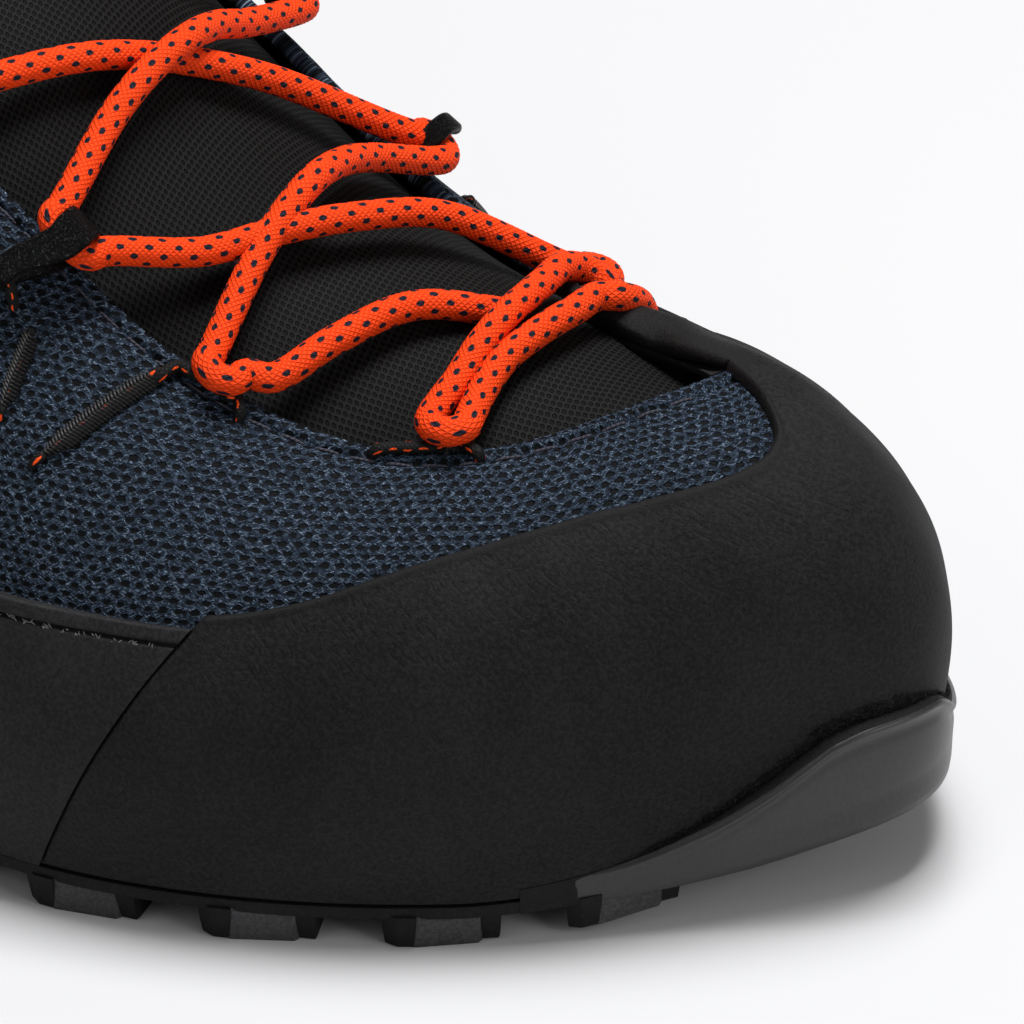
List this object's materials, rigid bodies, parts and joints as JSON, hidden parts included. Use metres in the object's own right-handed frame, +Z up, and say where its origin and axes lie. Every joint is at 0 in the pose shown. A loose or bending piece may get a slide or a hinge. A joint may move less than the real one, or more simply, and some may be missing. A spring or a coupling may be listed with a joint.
{
  "type": "approach shoe",
  "caption": "Low-cut approach shoe, empty and flat on its lugged sole: navy mesh upper, black rubber toe rand and bumper, padded tongue, and an orange lace through side loops.",
  "frame": {"origin": "middle of the shoe's box, on the plane that the sole stands on", "axes": "+X from heel to toe, +Y towards the inner side of the foot, +Z up"},
  "size_m": [0.3, 0.1088, 0.1227],
  "materials": {
    "outsole_rubber": "satin black rubber",
    "rand_rubber": "matt black rubber with fine grain",
    "midsole_foam": "matt black foam",
    "insole_fabric": "dark grey knit on foam",
    "upper_mesh": "navy sandwich mesh",
    "counter_film": "matt black film",
    "collar_fabric": "padded black knit",
    "tongue_mesh": "black air mesh over foam",
    "loop_strap": "gloss black coated strap",
    "loop_cord": "black cord with pale flecks",
    "bar_thread": "black satin stitches",
    "lace_braid": "orange-red round braid with dark flecks",
    "pull_webbing": "black webbing"
  },
  "bodies": {
    "root": {"bar_inner_2": "bar_thread", "bar_inner_3": "bar_thread", "bar_inner_4": "bar_thread", "bar_inner_5": "bar_thread", "bar_outer_2": "bar_thread", "bar_outer_3": "bar_thread", "bar_outer_4": "bar_thread", "bar_outer_5": "bar_thread", "bar_outer_6": "bar_thread", "collar_pad": "collar_fabric", "heel_counter": "counter_film", "insole": "insole_fabric", "lace": "lace_braid", "loop_inner_1": "loop_cord", "loop_inner_2": "loop_strap", "loop_inner_3": "loop_strap", "loop_inner_4": "loop_strap", "loop_inner_5": "loop_strap", "loop_outer_1": "loop_cord", "loop_outer_2": "loop_cord", "loop_outer_3": "loop_strap", "loop_outer_4": "loop_strap", "loop_outer_5": "loop_strap", "loop_outer_6": "loop_strap", "midsole": "midsole_foam", "outsole": "outsole_rubber", "pull_loop": "pull_webbing", "side_rand": "rand_rubber", "toe_rand": "rand_rubber", "tongue": "tongue_mesh", "upper": "upper_mesh"}
  },
  "joints": []
}
